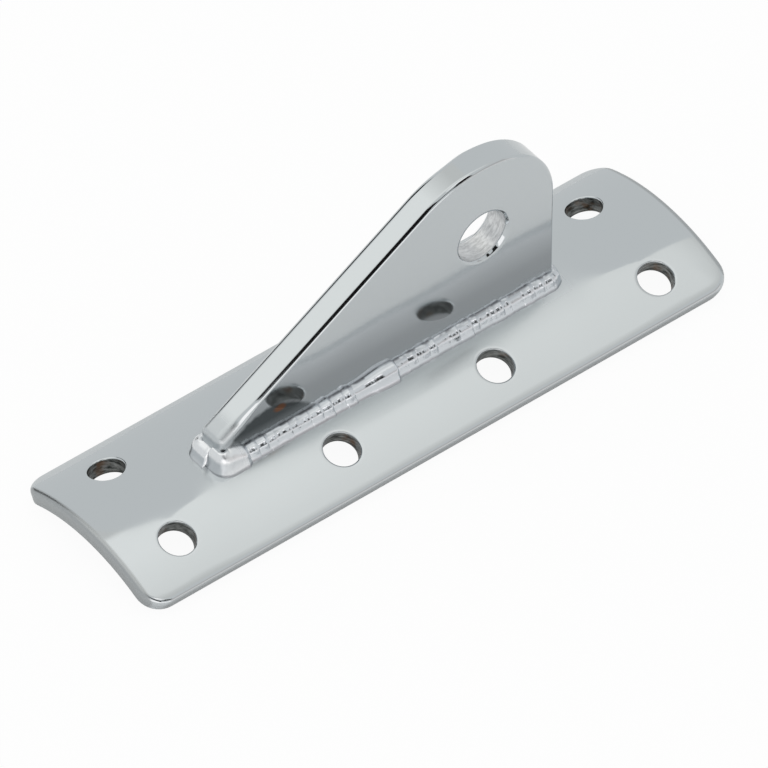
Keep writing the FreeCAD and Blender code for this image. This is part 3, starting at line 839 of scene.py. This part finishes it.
def laid_bead(name, rows, ripple_at, seed):
    """Makes a bead from its rows, lets the tree ripple it and keeps the result as a plain mesh."""
    skin = Skin()
    numbers = [skin.add(row) for row, _ in rows]
    for one, other in zip(numbers, numbers[1:]):
        skin.band(one, other, closed=False)
    for numbers_at_end in (numbers[0], numbers[-1]):
        skin.faces.append(numbers_at_end)
        skin.parts.append(0)
    skin.band([row[0] for row in numbers], [row[-1] for row in numbers], closed=False)
    bead = skin.build(name + "_plain", [weld_metal])
    runs = [run for row, run in rows for _ in row]
    places = [step / profile_steps for row, _ in rows for step in range(len(row))]
    shares = [ripple_at(run) for run in runs]
    for attribute, values in (("run", runs), ("profile", places), ("ripple", shares)):
        layer = bead.data.attributes.new(attribute, "FLOAT", "POINT")
        layer.data.foreach_set("value", values)
    modifier = bead.modifiers.new("ripples", "NODES")
    modifier.node_group = ripples
    sizes = {"Pitch": ripple_pitch, "Rise": ripple_rise, "Sweep": ripple_sweep, "Seed": seed,
             "Material": weld_metal}
    for item in ripples.interface.items_tree:
        if item.name in sizes:
            modifier[item.identifier] = sizes[item.name]
    bpy.context.view_layer.update()
    evaluated = bead.evaluated_get(bpy.context.evaluated_depsgraph_get())
    mesh = bpy.data.meshes.new_from_object(evaluated)
    bpy.data.objects.remove(bead)
    result = bpy.data.objects.new(name, mesh)
    bpy.context.scene.collection.objects.link(result)
    return result


def rounded_end(length, radius, total):
    """1 along the bead, falling round to nothing over the last part of it."""
    left = total - length
    return math.sqrt(max(1 - max(1 - left / radius, 0.0) ** 2, 0.0004))


for side, label in ((-1, "near"), (1, "far")):
    path = toe_path(side)
    total = path[-1][2]
    corner_run = next(run for _, out, run in path if abs(out.x) < 1e-6)
    cap_start = total - cap_length

    toe_bead_end = corner_run + toe_bead_length

    def toe_size(run):
        size = blended(run, [(0, toe_bead), (toe_bead_end - toe_bead_blend, toe_bead),
                             (toe_bead_end + toe_bead_blend, toe_run_bead),
                             (cap_start - cap_start_blend, toe_run_bead), (cap_start, cap_start_bead),
                             (total - cap_grown, cap_bead)])
        return size * rounded_end(run, cap_nose, total)

    def toe_lift(run):
        first = toe_bead_lift[side]
        return blended(run, [(0, first), (corner_run, first), (corner_run + toe_lift_blend, toe_run_lift),
                             (cap_start, toe_run_lift), (total - cap_grown, cap_lift)])

    def toe_ripple(run):
        return blended(run, [(0, toe_calm), (corner_run + 0.5, toe_calm), (corner_run + 2.5, 1.0),
                             (cap_start - 1.6, 1.0), (cap_start + 0.2, cap_calm)])

    toe_rows = bead_rows(path, (nose_roots[side], toe_roots[side]), 1.0, toe_size, toe_lift)
    toe_weld = laid_bead(f"toe_run_{label}", toe_rows, toe_ripple, toe_seeds[side])
    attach(toe_weld, "root")
    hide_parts(f"weld_{label}_toe")

    heel_rows = bead_rows(heel_path(side), (heel_root, heel_root), heel_spread,
                          lambda run: heel_run_bead, lambda run: 1.0)
    heel_weld = laid_bead(f"heel_run_{label}", heel_rows, lambda run: 1.0, heel_seeds[side])
    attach(heel_weld, "root")
    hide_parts(f"weld_{label}_heel")

# The studio: a white table, an even white room, one large soft light overhead, a window low in
# front, and dark cards whose reflections draw the metal's edges. None of it is part of the object.


def stage_sheet(name, corners, material):
    mesh = bpy.data.meshes.new(name)
    mesh.from_pydata([Vector(corner) for corner in corners], [], [range(len(corners))])
    mesh.materials.append(material)
    piece = bpy.data.objects.new(name, mesh)
    bpy.context.scene.collection.objects.link(piece)
    return piece


def table_material():
    """White to the camera and in reflections, with part of the shadow kept."""
    material = bpy.data.materials.new("white_table")
    material.use_nodes = True
    nodes = Nodes(material.node_tree)
    shader = material.node_tree.nodes["Principled BSDF"]
    shader.inputs["Base Color"].default_value = (0.9, 0.9, 0.9, 1.0)
    shader.inputs["Roughness"].default_value = 0.9
    glow = nodes.add("ShaderNodeEmission", {}, {"Color": (1.0, 1.0, 1.0, 1.0), "Strength": 1.0})
    path = nodes.add("ShaderNodeLightPath")
    seen = nodes.number(path, "Is Camera Ray") * 0.94 + nodes.number(path, "Is Glossy Ray") * 0.2
    seen = nodes.math("MINIMUM", seen + nodes.number(path, "Is Transmission Ray") * 0.88, 1.0)
    mix = nodes.add("ShaderNodeMixShader", {}, {0: seen, 1: shader.outputs[0], 2: glow.outputs[0]})
    output = material.node_tree.nodes["Material Output"]
    material.node_tree.links.new(mix.outputs[0], output.inputs["Surface"])
    return material


table_half = 3.0
stage_sheet("table", [(-table_half, -table_half, 0), (table_half, -table_half, 0),
                      (table_half, table_half, 0), (-table_half, table_half, 0)], table_material())

room_light = 0.787
world = bpy.data.worlds.new("white_room")
bpy.context.scene.world = world
world.use_nodes = True
world.node_tree.nodes["Background"].inputs["Color"].default_value = (0.985, 1.0, 1.0, 1.0)
world.node_tree.nodes["Background"].inputs["Strength"].default_value = room_light


def glowing(name, colour, light_at):
    """A material that only gives light, as much as light_at says for each place."""
    material = bpy.data.materials.new(name)
    material.use_nodes = True
    nodes = Nodes(material.node_tree)
    nodes.tree.nodes.remove(nodes.tree.nodes["Principled BSDF"])
    light = light_at(nodes, *nodes.axes(nodes.add("ShaderNodeTexCoord").outputs["Object"]))
    glow = nodes.add("ShaderNodeEmission", {}, {"Color": (*colour, 1.0), "Strength": light})
    nodes.tree.links.new(glow.outputs[0], nodes.tree.nodes["Material Output"].inputs["Surface"])
    return material


def softbox_light(nodes, x, y, _):
    """Light that fades towards the box's edges and is strongest in its near middle."""
    near_side = nodes.span(y, -0.32, -0.245, 0.0, 0.29)
    middle = nodes.span(y, -0.245, 0.1) * nodes.span(x, 0.27, 0.41, 0.16, 0.02)
    far_end = 1.0 - nodes.span(y, 0.3, 0.34) * nodes.span(x, -0.24, 0.1)
    return (1.0 + (near_side + middle) * nodes.span(x, 0.51, 0.43) * far_end) * room_light


softbox_height = 0.7
softbox_outline = ((-0.6, -0.36), (0.6, -0.36), (0.6, 0.12), (0.41, 0.17), (0.398, 0.178),
                   (0.386, 0.232), (0.315, 0.262), (0.303, 0.238), (0.288, 0.228), (0.2, 0.664),
                   (-0.6, 0.664))
softbox_corners = [(x, y, softbox_height) for x, y in softbox_outline]
softbox_cloth = glowing("softbox_cloth", (1.0, 1.0, 0.975), softbox_light)
softbox = stage_sheet("softbox", softbox_corners, softbox_cloth)
softbox.visible_camera = False


def card_material(name, low_light, high_light, low=0.0, high=1.0):
    """A card whose light goes from one level to another between two heights."""
    return glowing(name, (1.0, 0.97, 0.955),
                   lambda nodes, x, y, z: nodes.span(z, low, high, low_light, high_light))


def card(name, sides, cloth):
    """A flat card a metre away, seen only in reflections. Its corners are (turn from -Y, elevation)."""
    outward = [Vector((math.sin(math.radians(turn)) * math.cos(math.radians(rise)),
                       -math.cos(math.radians(turn)) * math.cos(math.radians(rise)),
                       math.sin(math.radians(rise)))) for turn, rise in sides]
    facing = sum(outward, Vector()).normalized()
    piece = stage_sheet(name, [out / out.dot(facing) for out in outward], cloth)
    piece.visible_camera = False
    piece.visible_diffuse = False
    piece.visible_shadow = False


dark = card_material("dark_card", 0.01, 0.01)
card("photographer", ((-46, 44), (-44, 54), (-20, 48), (-8, 38), (8, 38), (11, 50), (21, 50),
                      (21, 27), (11, 27), (8, 32), (-8, 29), (-12, 15), (-24, 29)), dark)
card("upper_glow", ((-4, 51), (25, 51), (25, 60), (-4, 60)), card_material("glow", 1.5, 1.5))
card("window", ((-52, 0.5), (12, 0.5), (12, 12), (-12, 12), (-24, 25), (-52, 25)),
     card_material("window", 1.5, 1.5))
card("back_card", ((176, -1), (195, -1), (195, 40), (176, 38)), dark)
card("side_panel", ((13, 1), (55, 1), (55, 29), (13, 29)),
     card_material("panel", 1.04, 0.555, 0.05, 0.48))

# The camera looks down on the lug's near side from past the toe, from about two metres away.

camera_azimuth = math.radians(38.2008)
camera_elevation = math.radians(45.786)
camera_distance = 2.111117
camera_aim = Vector((0.0008236, 0.0, 0.0017815))
pixels_per_mm = 5.9043
image_size = 768
back = Vector((-math.sin(camera_azimuth) * math.cos(camera_elevation),
               -math.cos(camera_azimuth) * math.cos(camera_elevation), math.sin(camera_elevation)))
lens = bpy.data.cameras.new("camera")
lens.sensor_width = 36.0
lens.lens = pixels_per_mm / MM * camera_distance * lens.sensor_width / image_size
lens.clip_start = 0.05
lens.clip_end = 20.0
camera = bpy.data.objects.new("camera", lens)
camera.matrix_world = (Matrix.Translation(camera_aim + back * camera_distance)
                       @ back.to_track_quat("Z", "Y").to_matrix().to_4x4())
bpy.context.scene.collection.objects.link(camera)
bpy.context.scene.camera = camera
bpy.context.scene.view_settings.view_transform = "Standard"
